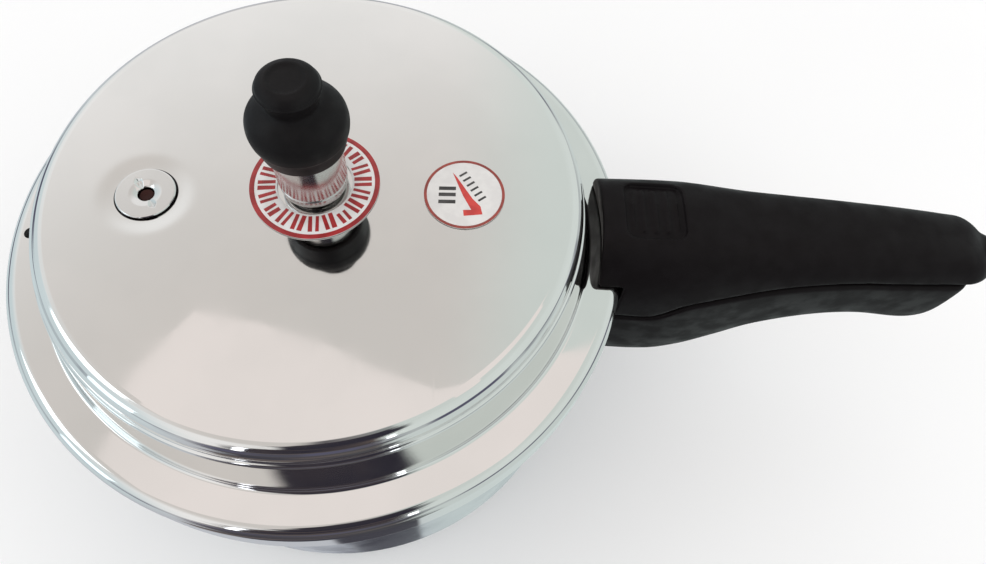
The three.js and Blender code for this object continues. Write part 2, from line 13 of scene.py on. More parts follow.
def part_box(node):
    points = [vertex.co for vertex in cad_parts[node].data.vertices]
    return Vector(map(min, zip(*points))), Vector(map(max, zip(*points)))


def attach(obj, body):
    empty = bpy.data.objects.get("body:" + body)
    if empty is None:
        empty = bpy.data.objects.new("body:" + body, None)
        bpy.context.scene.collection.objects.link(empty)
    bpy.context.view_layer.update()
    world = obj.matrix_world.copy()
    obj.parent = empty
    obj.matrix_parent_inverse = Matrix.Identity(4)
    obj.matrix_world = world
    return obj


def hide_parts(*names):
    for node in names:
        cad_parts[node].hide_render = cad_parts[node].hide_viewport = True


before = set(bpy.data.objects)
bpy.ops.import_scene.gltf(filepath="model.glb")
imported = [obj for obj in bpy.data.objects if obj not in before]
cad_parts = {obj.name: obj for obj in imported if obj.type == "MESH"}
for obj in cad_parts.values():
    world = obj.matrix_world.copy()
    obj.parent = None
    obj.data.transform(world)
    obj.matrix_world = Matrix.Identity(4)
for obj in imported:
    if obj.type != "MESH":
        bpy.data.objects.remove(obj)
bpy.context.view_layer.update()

MM = 0.001


def lowest(node):
    return np.array(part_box(node)[0]) / MM


def highest(node):
    return np.array(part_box(node)[1]) / MM


# ---------- Sizes that the frame gives ----------
GAP = 0.3
SHEET = 2.2                                   # lid and bracket sheet
LID_R = highest("lid")[0]
LID_TOP = highest("lid")[2]
LID_UNDER = LID_TOP - SHEET
SKIRT_BOTTOM = lowest("lid")[2]
SKIRT_IN_R = LID_R - SHEET
FLANGE_UNDER = highest("gasket")[2] + GAP
FLANGE_TOP = FLANGE_UNDER + SHEET
POT_TOP = highest("pot_body")[2]
TIP_X = highest("pot_handle")[0] + 9          # end of the lid handle, without its nub
NUB_END = highest("lid_handle")[0]
PLUG = (lowest("safety_plug") + highest("safety_plug")) / 2
PLUG_R = (highest("safety_plug") - lowest("safety_plug"))[0] / 2
VENT_SEAT = highest("vent_tube")[2]
WEIGHT_R = highest("weight_body")[0]
WEIGHT_LOW = lowest("weight_body")[2]
WEIGHT_TOP = highest("weight_body")[2]
COVER_LOW = lowest("weight_cover")[2]
COVER_TOP = highest("weight_cover")[2]

# ---------- Sizes of the pressed and moulded shapes ----------
EDGE_R = 4.6                                  # rounding between skirt and flange
FOOT_R = LID_R - EDGE_R - 10                  # foot of the lid's step
CREASE_R = FOOT_R - 4
CREASE_Z = LID_TOP - 7.4
WIDE_Z = FLANGE_TOP - EDGE_R                  # height from which the handles are drawn
LUGS = 4
LUG_ANGLE = 36
LUG_THICK = 3.5
LUG_REACH = 4
RIM_THICK = 4
RIM_R = SKIRT_IN_R - 0.8
POT_R = RIM_R - LUG_REACH
POT_WALL = 3
POT_BASE = 4
HOLE_R = 5.3                                  # holes for the vent and the safety plug
FUSE_R = 2.4
SHANK_R = 5                                   # threaded shanks of the vent and the plug
PLUG_ROOM = 0.55                              # free width round the plug
POCKET_DEPTH = 1.3                            # lid top to the floor below the plug
RELEASE_R = 2.3                               # hole through which the gasket gives way
RELEASE_ANGLE = math.radians(185.5)
RELEASE_AT_R = FOOT_R + 6.8
RIVET_SIDE = 11                               # rivet axis to the handle's middle plane
RIVET_R = 2
RIVET_HEAD_R = 3.6
RIVET_HEAD_H = 1.6
LID_RIVET_Z = WIDE_Z - 7
POT_RIVET_Z = WIDE_Z - 42
LID_TONGUE_Z = WIDE_Z - 3.6                   # each bracket's tongue in its handle
POT_TONGUE_Z = WIDE_Z - 34
LID_TONGUE_END = LID_R + 22
POT_TONGUE_END = LID_R + 40
LID_SCREW_X = LID_R + 13
POT_SCREW_X = LID_R + 30


# ---------- Outlines ----------
def rounded(corners, closed=True, steps=8):
    """The (r, z) points of an outline whose corners are (r, z, radius of the rounding)."""
    points = []
    for i, (r, z, radius) in enumerate(corners):
        here = np.array([r, z], float)
        if radius == 0 or (not closed and i in (0, len(corners) - 1)):
            points.append(here)
            continue
        before = np.array(corners[i - 1][:2]) - here
        after = np.array(corners[(i + 1) % len(corners)][:2]) - here
        before = before / np.linalg.norm(before)
        after = after / np.linalg.norm(after)
        half = math.acos(np.clip(before @ after, -1, 1)) / 2
        middle = before + after
        centre = here + middle / np.linalg.norm(middle) * radius / math.sin(half)
        start = here + before * radius / math.tan(half) - centre
        end = here + after * radius / math.tan(half) - centre
        first = math.atan2(start[1], start[0])
        turn = math.atan2(end[1], end[0]) - first
        turn = (turn + math.pi) % (2 * math.pi) - math.pi
        for k in range(steps + 1):
            a = first + turn * k / steps
            points.append(centre + radius * np.array([math.cos(a), math.sin(a)]))
    return np.array(points)


def supported(points, closed=True, gap=0.25, longest=None):
    """The outline with points close to the ends of its straights, which keeps flats flat when shaded."""
    out = []
    count = len(points)
    for i in range(count):
        out.append(points[i])
        if not closed and i == count - 1:
            break
        step = points[(i + 1) % count] - points[i]
        length = np.linalg.norm(step)
        if length < 4 * gap:
            continue
        cuts = [gap / length, 1 - gap / length]
        if longest and length > longest:
            cuts = [cuts[0], *np.linspace(0, 1, int(length / longest) + 2)[1:-1], cuts[1]]
        out.extend(points[i] + step * c for c in sorted(cuts))
    return np.array(out)


def spline(points, steps=10):
    """A Catmull-Rom curve through points."""
    p = np.array(points, float)
    p = np.vstack([p[0], p, p[-1]])
    out = []
    for i in range(1, len(p) - 2):
        for k in range(steps):
            t = k / steps
            out.append(0.5 * (2 * p[i] + (p[i + 1] - p[i - 1]) * t
                              + (2 * p[i - 1] - 5 * p[i] + 4 * p[i + 1] - p[i + 2]) * t ** 2
                              + (3 * p[i] - p[i - 1] - 3 * p[i + 1] + p[i + 2]) * t ** 3))
    out.append(p[-2])
    return np.array(out)


def curve_through(points, across=0):
    """A height or width as a function of a place along a line."""
    line = spline([(x + across, value) for x, value in points], 24)
    return lambda x: np.interp(x, line[:, 0], line[:, 1])


def smooth_step(value, low, high):
    t = np.clip((value - low) / (high - low), 0, 1)
    return t * t * (3 - 2 * t)


# ---------- Meshes ----------
def mesh_object(name, vertices, faces):
    mesh = bpy.data.meshes.new(name)
    mesh.from_pydata((np.asarray(vertices, float) * MM).tolist(), [], faces)
    work = bmesh.new()
    work.from_mesh(mesh)
    bmesh.ops.remove_doubles(work, verts=work.verts, dist=1e-6)
    bmesh.ops.dissolve_degenerate(work, edges=work.edges, dist=1e-7)
    bmesh.ops.recalc_face_normals(work, faces=work.faces)
    work.to_mesh(mesh)
    work.free()
    mesh.shade_smooth()
    obj = bpy.data.objects.new(name, mesh)
    bpy.context.collection.objects.link(obj)
    return obj


def shifted(obj, x, y):
    """Moves a mesh sideways, by millimetres."""
    obj.data.transform(Matrix.Translation((x * MM, y * MM, 0)))
    return obj


def finished(obj, look, body, slot, *nodes):
    """Gives a piece its material and body, and hides the CAD nodes it stands for. The slot is not used."""
    obj.data.materials.clear()
    obj.data.materials.append(look)
    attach(obj, body)
    if nodes:
        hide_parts(*nodes)
    return obj


def grid_faces(rows, columns, close_rows, close_columns):
    """Quads over a grid of vertices numbered row by row."""
    faces = []
    for i in range(rows if close_rows else rows - 1):
        below = i * columns
        above = (i + 1) % rows * columns
        for j in range(columns if close_columns else columns - 1):
            k = (j + 1) % columns
            faces.append((below + j, above + j, above + k, below + k))
    return faces


def turned(name, outline, steps=96, angles=None, closed=True):
    """A body of revolution. An outline may be a function of the angle, with as many points at each."""
    if angles is None:
        angles = np.linspace(0, 2 * math.pi, steps, endpoint=False)
    rows = []
    for a in angles:
        section = outline(a) if callable(outline) else outline
        r, z = section.T
        rows.append(np.column_stack([r * math.cos(a), r * math.sin(a), z]))
    count = len(rows[0])
    return mesh_object(name, np.vstack(rows), grid_faces(len(rows), count, True, closed))


def implicit(name, field, low, high, cell):
    """The surface where field(x, y, z) is 0, negative inside: a net over a grid, drawn onto the surface."""
    low = np.array(low, float) - 1.5 * cell
    size = np.ceil((np.array(high) + 1.5 * cell - low) / cell).astype(int) + 1
    axes = [low[k] + cell * np.arange(size[k]) for k in range(3)]
    inside = np.empty(size, bool)
    for i, x in enumerate(axes[0]):
        inside[i] = field(x, *np.meshgrid(axes[1], axes[2], indexing="ij")) < 0
    cells = size - 1
    count = np.zeros(cells, int)
    for dx in (0, 1):
        for dy in (0, 1):
            for dz in (0, 1):
                count += inside[dx:dx + cells[0], dy:dy + cells[1], dz:dz + cells[2]]
    crossed = (count > 0) & (count < 8)
    number = np.full(cells, -1)
    number[crossed] = np.arange(crossed.sum())
    points = low + cell * (np.argwhere(crossed) + 0.5)
    faces = []
    for axis in range(3):
        along = [slice(None)] * 3
        along[axis] = slice(0, -1)
        ahead = [slice(None)] * 3
        ahead[axis] = slice(1, None)
        first, second = inside[tuple(along)], inside[tuple(ahead)]
        u, v = (axis + 1) % 3, (axis + 2) % 3
        at = np.argwhere(first != second)
        at = at[(at[:, u] > 0) & (at[:, v] > 0) & (at[:, u] < cells[u]) & (at[:, v] < cells[v])]
        corners = []
        for du, dv in ((-1, -1), (0, -1), (0, 0), (-1, 0)):
            c = at.copy()
            c[:, u] += du
            c[:, v] += dv
            corners.append(number[c[:, 0], c[:, 1], c[:, 2]])
        quads = np.stack(corners, 1)
        outward = first[at[:, 0], at[:, 1], at[:, 2]]
        quads[~outward] = quads[~outward, ::-1]
        faces.append(quads)
    faces = np.vstack(faces)
    # Even out the net a little, then bring each point to the surface along the field's slope.
    for smoothing in range(4):
        total = np.zeros_like(points)
        weight = np.zeros(len(points))
        for k in range(4):
            for other in ((k + 1) % 4, (k + 3) % 4):
                np.add.at(total, faces[:, k], points[faces[:, other]])
                np.add.at(weight, faces[:, k], 1)
        if smoothing < 2:
            points = total / weight[:, None]
        step = 0.05 * cell
        for _ in range(3):
            value = field(points[:, 0], points[:, 1], points[:, 2])
            slope = np.stack([(field(*(points + step * d).T) - field(*(points - step * d).T)) / (2 * step)
                              for d in np.eye(3)], 1)
            length2 = np.maximum((slope ** 2).sum(1), 0.05)
            move = slope * (value / length2)[:, None]
            far = np.linalg.norm(move, axis=1)
            points = points - move * np.minimum(1, 0.6 * cell / np.maximum(far, 1e-9))[:, None]
    return mesh_object(name, points, faces.tolist())


def soft_max(a, b, blend):
    return np.maximum(a, b) + np.maximum(blend - np.abs(a - b), 0) ** 2 / (4 * blend)


def soft_min(a, b, blend):
    return -soft_max(-a, -b, blend)


def cut(obj, tool):
    """Takes the tool's volume out of a piece."""
    step = obj.modifiers.new("cut", "BOOLEAN")
    step.operation = "DIFFERENCE"
    step.solver = "EXACT"
    step.object = tool
    bpy.context.view_layer.update()
    mesh = bpy.data.meshes.new_from_object(obj.evaluated_get(bpy.context.evaluated_depsgraph_get()))
    obj.modifiers.clear()
    obj.data = mesh
    bpy.data.objects.remove(tool)


# ---------- Materials ----------
def give(tree, socket, value):
    """Links another node's output to an input, or sets the input to a value."""
    if isinstance(value, bpy.types.NodeSocket):
        tree.links.new(value, socket)
    else:
        socket.default_value = value


def add(tree, kind, settings=None, **inputs):
    """A shader node, with its inputs set or linked by name."""
    made = tree.nodes.new(kind)
    for key, value in (settings or {}).items():
        setattr(made, key, value)
    for key, value in inputs.items():
        give(tree, made.inputs[key.replace("_", " ")], value)
    return made


def maths(tree, operation, *values):
    """The result of a sum on shader values."""
    made = add(tree, "ShaderNodeMath", {"operation": operation})
    for socket, value in zip(made.inputs, values):
        give(tree, socket, value)
    return made.outputs[0]


def noise(tree, where, scale, detail=3.0, stretch=(1, 1, 1)):
    """Noise from 0 to 1 over the object, at so many waves a metre."""
    placed = add(tree, "ShaderNodeMapping", Vector=where, Scale=stretch)
    return add(tree, "ShaderNodeTexNoise", Vector=placed.outputs[0], Scale=scale, Detail=detail).outputs[0]


def between(tree, value, low, high, start=0.35, end=0.65):
    """A smooth change from low to high as the value goes from start to end."""
    made = add(tree, "ShaderNodeMapRange", {"interpolation_type": "SMOOTHSTEP"}, Value=value)
    for key, number in (("From Min", start), ("From Max", end), ("To Min", low), ("To Max", high)):
        made.inputs[key].default_value = number
    return made.outputs[0]


def blended(tree, factor, first, second):
    """The first colour where the factor is 0, and the second where it is 1."""
    made = add(tree, "ShaderNodeMix", {"data_type": "RGBA"})
    tree.links.new(factor, made.inputs[0])
    for index, colour in ((6, first), (7, second)):
        give(tree, made.inputs[index], colour if isinstance(colour, bpy.types.NodeSocket) else (*colour, 1))
    return made.outputs[2]


def bumped(tree, heights):
    """Bumps laid over one another: pairs of a height from 0 to 1 and how far it stands, in metres."""
    normal = None
    for height, distance in heights:
        made = add(tree, "ShaderNodeBump", Height=height, Distance=distance, Strength=1.0)
        if normal is not None:
            tree.links.new(normal, made.inputs["Normal"])
        normal = made.outputs[0]
    return normal


def new_look(name):
    look = bpy.data.materials.new(name)
    look.use_nodes = True
    tree = look.node_tree
    shader = next(n for n in tree.nodes if n.type == "BSDF_PRINCIPLED")
    where = add(tree, "ShaderNodeTexCoord").outputs["Object"]
    return look, tree, shader, where


def polished(name, colour, worn, roughness, wave=1.5e-4, turned_marks=0.0, painted_gap_shadow=None):
    """Polished metal: a faint wave from pressing, fine scratches and wiped smudges.

    The ring given as (x, y, inner radius, outer radius), in millimetres, is a painted shadow: a dark ring in
    the colour where the gap round a part lies in shade.
    """
    look, tree, shader, where = new_look(name)
    smudge = noise(tree, where, 22, 5)
    shade = blended(tree, between(tree, smudge, 0, 1), colour, worn)
    if painted_gap_shadow:
        x, y, in_r, out_r = painted_gap_shadow
        # Painted shadow: the colour goes dark across the ring, where the gap round the part lies in shade.
        level = add(tree, "ShaderNodeVectorMath", {"operation": "MULTIPLY"})
        give(tree, level.inputs[0], where)
        give(tree, level.inputs[1], (1, 1, 0))
        away = add(tree, "ShaderNodeVectorMath", {"operation": "DISTANCE"})
        give(tree, away.inputs[0], level.outputs[0])
        give(tree, away.inputs[1], (x * MM, y * MM, 0))
        away = away.outputs["Value"]
        gap_shadow = maths(tree, "MULTIPLY", between(tree, away, 0, 1, (in_r - 0.1) * MM, in_r * MM),
                     between(tree, away, 1, 0, out_r * MM, (out_r + 0.12) * MM))
        shade = blended(tree, gap_shadow, shade, (0.03, 0.028, 0.03))
    tree.links.new(shade, shader.inputs["Base Color"])
    shader.inputs["Metallic"].default_value = 1
    cloud = noise(tree, where, 60, 6)
    scratch_a = noise(tree, where, 500, 2, (0.04, 1, 1))
    scratch_b = noise(tree, where, 430, 2, (1, 0.05, 1))
    lines = maths(tree, "MAXIMUM", between(tree, scratch_a, 0, 1, 0.66, 0.72),
                  between(tree, scratch_b, 0, 1, 0.68, 0.74))
    rough = between(tree, cloud, roughness * 0.75, roughness * 1.5)
    tree.links.new(maths(tree, "MULTIPLY_ADD", lines, 0.03, rough), shader.inputs["Roughness"])
    heights = [(noise(tree, where, 16, 1), wave), (noise(tree, where, 700, 2), 1.2e-6)]
    if turned_marks:
        heights.append((noise(tree, where, 900, 2, (0.02, 0.02, 3)), turned_marks))
    tree.links.new(bumped(tree, heights), shader.inputs["Normal"])
    return look


def moulded(name, colour, dusty, roughness, specular, grain):
    """Matte moulding: fine grain, dull patches and paler rubbed edges."""
    look, tree, shader, where = new_look(name)
    patches = between(tree, noise(tree, where, 160, 5), 0, 0.22)
    edges = add(tree, "ShaderNodeNewGeometry").outputs["Pointiness"]
    rubbed = between(tree, edges, 0, 0.8, 0.58, 0.72)
    pale = maths(tree, "MAXIMUM", patches, rubbed)
    tree.links.new(blended(tree, pale, colour, dusty), shader.inputs["Base Color"])
    rough = between(tree, noise(tree, where, 120, 4), roughness * 0.85, roughness * 1.15)
    tree.links.new(rough, shader.inputs["Roughness"])
    shader.inputs["Specular IOR Level"].default_value = specular
    heights = [(noise(tree, where, 1500, 3), grain), (noise(tree, where, 260, 2), grain * 1.2)]
    tree.links.new(bumped(tree, heights), shader.inputs["Normal"])
    return look


def film(name, colour, aged, coat):
    """Printed film: a clear gloss over a slightly uneven print."""
    look, tree, shader, where = new_look(name)
    tint = between(tree, noise(tree, where, 240, 4), 0, 1)
    tree.links.new(blended(tree, tint, colour, aged), shader.inputs["Base Color"])
    shader.inputs["Roughness"].default_value = 0.45
    shader.inputs["Coat Weight"].default_value = coat
    shader.inputs["Coat Roughness"].default_value = 0.12
    tree.links.new(bumped(tree, [(noise(tree, where, 300, 3), 8e-6)]), shader.inputs["Normal"])
    return look


# The lid's colour carries a painted shadow in the gap round the safety plug.
LID_ALUMINIUM = polished("lid_aluminium", (0.905, 0.89, 0.875), (0.865, 0.855, 0.84), 0.05,
                         painted_gap_shadow=(PLUG[0], PLUG[1], PLUG_R - 0.3, PLUG_R + PLUG_ROOM))
ALUMINIUM = polished("plug_aluminium", (0.88, 0.87, 0.855), (0.82, 0.81, 0.80), 0.09, 2e-5)
CAST_ALUMINIUM = polished("bracket_aluminium", (0.74, 0.74, 0.74), (0.62, 0.62, 0.62), 0.3, 2e-5)
# Painted reflection: the pot's colour is darker and bluer than the lid's, standing in for dim blue-grey
# surroundings reflected in its wall; its finish is also rougher than the lid's.
POT_ALUMINIUM_PAINTED_REFLECTION = polished("pot_aluminium_painted_reflection", (0.70, 0.72, 0.75), (0.60, 0.63, 0.67), 0.14, 8e-5)
STEEL = polished("turned_steel", (0.70, 0.68, 0.665), (0.60, 0.58, 0.57), 0.2, 1e-5, 8e-6)
BRASS = polished("turned_brass", (0.76, 0.58, 0.28), (0.62, 0.44, 0.2), 0.22, 1e-5, 5e-6)
ALLOY = polished("fusible_alloy", (0.075, 0.032, 0.028), (0.045, 0.022, 0.02), 0.5, 1e-4)
PHENOLIC = moulded("black_phenolic", (0.0045, 0.0027, 0.0033), (0.0105, 0.0085, 0.0098), 0.5, 0.13, 2.8e-5)
COVER_BLACK = moulded("black_cover", (0.004, 0.003, 0.0035), (0.013, 0.0105, 0.0115), 0.55, 0.2, 3e-5)
RUBBER = moulded("gasket_rubber", (0.03, 0.03, 0.031), (0.06, 0.06, 0.06), 0.6, 0.4, 1.4e-5)
WHITE_FILM = film("white_film", (0.80, 0.78, 0.77), (0.72, 0.70, 0.68), 0.4)
CLEAR_FILM = film("clear_film", (0.74, 0.72, 0.70), (0.68, 0.66, 0.645), 0.6)
RED_INK = film("red_ink", (0.40, 0.022, 0.024), (0.27, 0.012, 0.014), 0.3)
BROWN_INK = film("brown_red_ink", (0.24, 0.035, 0.025), (0.33, 0.05, 0.035), 0.3)
TICK_INK = film("bright_red_ink", (0.62, 0.045, 0.035), (0.5, 0.03, 0.025), 0.3)
DARK_INK = film("dark_ink", (0.03, 0.027, 0.027), (0.055, 0.05, 0.05), 0.3)


# ---------- Pot ----------
LUG_ENDS = 0.9                                # degrees over which a lug rises
TURN = np.radians(np.unique(np.round(np.concatenate(
    [np.arange(0, 360, 1.25)]
    + [edge + np.array([-LUG_ENDS, -0.5 * LUG_ENDS, 0, 0.5 * LUG_ENDS, LUG_ENDS])
       for edge in (np.arange(LUGS) * 360 / LUGS)[:, None].repeat(2, 1).ravel()
       + np.tile([-LUG_ANGLE / 2, LUG_ANGLE / 2], LUGS)]) % 360, 3)))


def lug_height(angle):
    """1 on a lug and almost 0 between two, at an angle round the pot."""
    pitch = 360 / LUGS
    off = abs((math.degrees(angle) + pitch / 2) % pitch - pitch / 2)
    return float(1 - 0.96 * smooth_step(off, LUG_ANGLE / 2 - LUG_ENDS, LUG_ANGLE / 2 + LUG_ENDS))


def with_lugs(outline, lug, wall_r):
    """Draws the lug points of an outline back to the wall between the lugs."""
    def at(angle):
        section = outline.copy()
        section[lug, 0] = wall_r + (section[lug, 0] - wall_r) * lug_height(angle)
        return section
    return at


def pot_outline():
    in_r = POT_R - POT_WALL
    return supported(rounded([
        (0, 0.6, 0),
        (60, 0.6, 2),
        (62, 0, 1),
        (POT_R, 0, 12),
        (POT_R, POT_TOP - RIM_THICK, 0.3),
        (RIM_R, POT_TOP - RIM_THICK, 0.6),
        (RIM_R, POT_TOP, 0.9),
        (in_r, POT_TOP, 0.9),
        (in_r, POT_BASE, 9),
        (0, POT_BASE, 0),
    ], closed=False), closed=False, longest=14)


pot_section = pot_outline()
pot_lug = pot_section[:, 0] > POT_R
pot = turned("pot_body_skin", with_lugs(pot_section, pot_lug, POT_R), angles=TURN, closed=False)
finished(pot, POT_ALUMINIUM_PAINTED_REFLECTION, "pot", "aluminium", "pot_body")


# ---------- Lid ----------
def lid_outline():
    return supported(rounded([
        (LID_R, SKIRT_BOTTOM, 0.8),
        (LID_R, FLANGE_TOP, EDGE_R),
        (FOOT_R + 0.4, FLANGE_TOP, 1.8),
        (CREASE_R + 0.9, CREASE_Z - 0.3, 1.5),
        (CREASE_R - 0.3, CREASE_Z + 0.2, 0.45),
        (CREASE_R - 0.1, LID_TOP, 5.8),
        (HOLE_R, LID_TOP, 0.3),
        (HOLE_R, LID_UNDER, 0.3),
        (CREASE_R - SHEET, LID_UNDER, 3.6),
        (FOOT_R - SHEET, FLANGE_UNDER, 2.5),
        (SKIRT_IN_R, FLANGE_UNDER, 2.4),
        (SKIRT_IN_R, SKIRT_BOTTOM + LUG_THICK, 0.3),
        (SKIRT_IN_R - LUG_REACH, SKIRT_BOTTOM + LUG_THICK, 0.6),
        (SKIRT_IN_R - LUG_REACH, SKIRT_BOTTOM, 0.6),
    ]), longest=1.6)


def dimpled(obj):
    """Presses the shallow bowl round the safety plug into the sheet."""
    upper = (0.6, 9.5, 16.5)                  # depth, radius of the flat floor, radius of the edge
    under = (POCKET_DEPTH, 10, 15.5)
    for vertex in obj.data.vertices:
        x, y, z = vertex.co / MM
        if z > LID_UNDER - 1:
            depth, floor_r, edge_r = upper if z > (LID_TOP + LID_UNDER) / 2 else under
            away = math.hypot(x - PLUG[0], y - PLUG[1])
            vertex.co.z -= MM * depth * float(1 - smooth_step(away, floor_r, edge_r))


lid_section = lid_outline()
lid_lug = (lid_section[:, 1] < SKIRT_BOTTOM + LUG_THICK + 0.1) & (lid_section[:, 0] < SKIRT_IN_R)
lid = turned("lid_skin", with_lugs(lid_section, lid_lug, SKIRT_IN_R), angles=TURN)
dimpled(lid)
pocket = turned("pocket", np.array([
    (0, LID_UNDER - 9),
    (HOLE_R, LID_UNDER - 9),
    (HOLE_R, LID_TOP - POCKET_DEPTH),
    (PLUG_R + PLUG_ROOM, LID_TOP - POCKET_DEPTH),
    (PLUG_R + PLUG_ROOM, LID_TOP + 6),
    (0, LID_TOP + 6),
]), closed=False)
shifted(pocket, PLUG[0], PLUG[1])
cut(lid, pocket)
release = turned("release", np.array([
    (0, FLANGE_UNDER - 3),
    (RELEASE_R, FLANGE_UNDER - 3),
    (RELEASE_R, FLANGE_TOP + 3),
    (0, FLANGE_TOP + 3),
]), 32, closed=False)
shifted(release, RELEASE_AT_R * math.cos(RELEASE_ANGLE), RELEASE_AT_R * math.sin(RELEASE_ANGLE))
cut(lid, release)
lid.data.set_sharp_from_angle(angle=math.radians(32))
finished(lid, LID_ALUMINIUM, "lid", "aluminium", "lid")

gasket_out = highest("gasket")[0]
gasket_in = gasket_out - 9
gasket_low, gasket_high = lowest("gasket")[2], highest("gasket")[2]
finished(turned("gasket_ring", supported(rounded([
    (gasket_in + 1.8, gasket_low, 0.6), (gasket_out, gasket_low, 1.2), (gasket_out, gasket_high, 1.2),
    (gasket_in + 1.8, gasket_high, 0.6), (gasket_in, gasket_high - 1, 0.5),
    (gasket_in + 3.6, (gasket_low + gasket_high) / 2, 1.0), (gasket_in, gasket_low + 1, 0.5)])), 192),
    RUBBER, "seal", "rubber", "gasket")


# ---------- Handles ----------
# The places in these tables are counted from the lid's edge, and the heights from WIDE_Z.
handle_top = curve_through([(-12, 20), (18, 19.4), (48, 17), (88, 15.4), (122, 13.4), (146, 9)], LID_R)
handle_half_width = curve_through([(-12, 25), (14, 26), (30, 25.4), (58, 21.6), (90, 18.8), (125, 17),
                                   (146, 15.5)], LID_R)
handle_bottom = curve_through([(-30, -65), (14, -65), (32, -60), (46, -50.5), (60, -39), (80, -30.5),
                               (100, -28.5), (124, -33), (134, -24), (146, -12)], LID_R)
parting = curve_through([(-30, -15), (2, -15), (14, -14.6), (19, -12), (26, -5.5), (34, -2.5), (48, 0.6),
                         (64, 3.4), (86, 4.6), (108, 3.6), (166, 1)], LID_R)
SQUARE = 3.2                                  # power of the rounded-square section
PART_HALF = 0.8                               # half of the gap between the two handles
PANEL_X = LID_R + 8.5                         # middle of the sunk panel
RIB_PITCH = 4.4
NUB_R = 7.5
SCREW_ROOM = 4.3                              # radius of the bore for a screw's head


def bar(x, y, z, tip, end_length=17):
    """The two handles as one rounded bar: below 0 inside, in about millimetres."""
    middle = (handle_top(x) + handle_bottom(x)) / 2 + WIDE_Z
    half = (handle_top(x) - handle_bottom(x)) / 2
    width = handle_half_width(x)
    section = ((np.abs(y) / width) ** SQUARE + (np.abs(z - middle) / half) ** SQUARE) ** (1 / SQUARE)
    end = np.clip((x - (tip - end_length)) / end_length, 0, 2)
    return ((section ** 2.22 + end ** 2.22) ** 0.45 - 1) * np.minimum(width, half)


def over_parting(r, z):
    """Height over the surface where the handles meet, measured square to it."""
    slope = (parting(r + 0.5) - parting(r - 0.5)) / 1.0
    return (z - WIDE_Z - parting(r)) / np.sqrt(1 + slope ** 2)


def bracket_room(x, y, z, wall_r, tongue_z, tongue_end, rivet_z):
    """The space that a handle leaves for its bracket's plate, tongue and rivet heads: below 0 inside."""
    room = np.maximum(np.maximum(np.abs(y) - 6.3, np.abs(z - tongue_z) - 2.8), x - tongue_end - GAP)
    plate = np.maximum(np.hypot(x, y) - wall_r - SHEET - 2 * GAP,
                       np.abs(y) - wall_r * math.sin(math.radians(10)))
    room = np.minimum(room, np.maximum(plate, z - FLANGE_TOP))
    for side in (-1, 1):
        a = math.asin(side * RIVET_SIDE / wall_r)
        along = x * math.cos(a) + y * math.sin(a)
        across = np.hypot(y * math.cos(a) - x * math.sin(a), z - rivet_z)
        room = np.minimum(room, np.maximum(across - RIVET_HEAD_R - 1, along - wall_r - 5))
    return room


def panel_edge(x, y):
    """Distance outside the rounded rectangle of the lid handle's sunk panel."""
    dx = np.abs(x - PANEL_X) - 7
    dy = np.abs(y - 2.5) - 8
    return np.hypot(np.maximum(dx, 0), np.maximum(dy, 0)) + np.minimum(np.maximum(dx, dy), 0) - 4


def lid_handle_field(x, y, z):
    r = np.hypot(x, y)
    shape = bar(x, y, z, TIP_X)
    # Sunk panel with plain raised bars.
    ribs = 0.45 * smooth_step(np.abs((x - PANEL_X) % RIB_PITCH - RIB_PITCH / 2), 1.0, 1.5)
    ribs = ribs * smooth_step(-panel_edge(x, y), 2.2, 3.0)
    sunk = shape + 0.95 - ribs
    shape = soft_max(shape, np.where(z > WIDE_Z, soft_min(-panel_edge(x, y), sunk, 0.5), -9), 0.5)
    nub = np.sqrt((x - NUB_END + NUB_R) ** 2 + y ** 2 + (z - WIDE_Z - 0.5) ** 2) - NUB_R
    shape = soft_min(shape, nub, 3)
    shape = soft_max(shape, PART_HALF - over_parting(r, z), 1.6)
    seat = FLANGE_TOP + GAP
    front = LID_R - 8.7 - 2.3 * (z - seat) / 14
    shape = soft_max(shape, np.minimum(LID_R + 2 * GAP - r, seat - z), 0.6)
    shape = soft_max(shape, front - r, 1.3)
    room = bracket_room(x, y, z, LID_R, LID_TONGUE_Z, LID_TONGUE_END, LID_RIVET_Z)
    bore = np.maximum(np.hypot(x - LID_SCREW_X, y) - SCREW_ROOM, z - (WIDE_Z - 10.5))
    return np.maximum(shape, -np.minimum(room, bore))


def pot_handle_field(x, y, z):
    r = np.hypot(x, y)
    shape = bar(x, y, z, TIP_X - 9, 9)
    shape = soft_max(shape, over_parting(r, z) + PART_HALF, 1.6)
    shape = soft_max(shape, POT_R + 2 * GAP - r, 1.2)
    room = bracket_room(x, y, z, POT_R, POT_TONGUE_Z, POT_TONGUE_END, POT_RIVET_Z)
    bore = np.maximum(np.hypot(x - POT_SCREW_X, y) - SCREW_ROOM, z - (WIDE_Z - 46))
    return np.maximum(shape, -np.minimum(room, bore))


HANDLE_CELL = 0.8
for name, field, body in (("lid_handle", lid_handle_field, "lid"), ("pot_handle", pot_handle_field, "pot")):
    grip = implicit(name + "_grip", field, lowest(name) - 1, highest(name) + 1, HANDLE_CELL)
    finished(grip, PHENOLIC, body, "phenolic", name)


# ---------- Brackets, rivets and screws ----------
def bracket_field(wall_r, low, high, tongue_z, tongue_end):
    in_r = wall_r + GAP

    def field(x, y, z):
        r = np.hypot(x, y)
        plate = soft_max(np.maximum(in_r - r, r - in_r - SHEET),
                         np.maximum(low - z, z - high), 0.8)
        plate = soft_max(plate, np.abs(np.arctan2(y, x)) * r - math.radians(9) * r, 1.2)
        tongue = soft_max(soft_max(np.abs(y) - 6, np.abs(z - tongue_z) - 2.5, 1.0),
                          np.maximum(x - tongue_end, in_r + SHEET / 3 - x), 1.0)
        return soft_min(plate, tongue, 1.0)
    return field


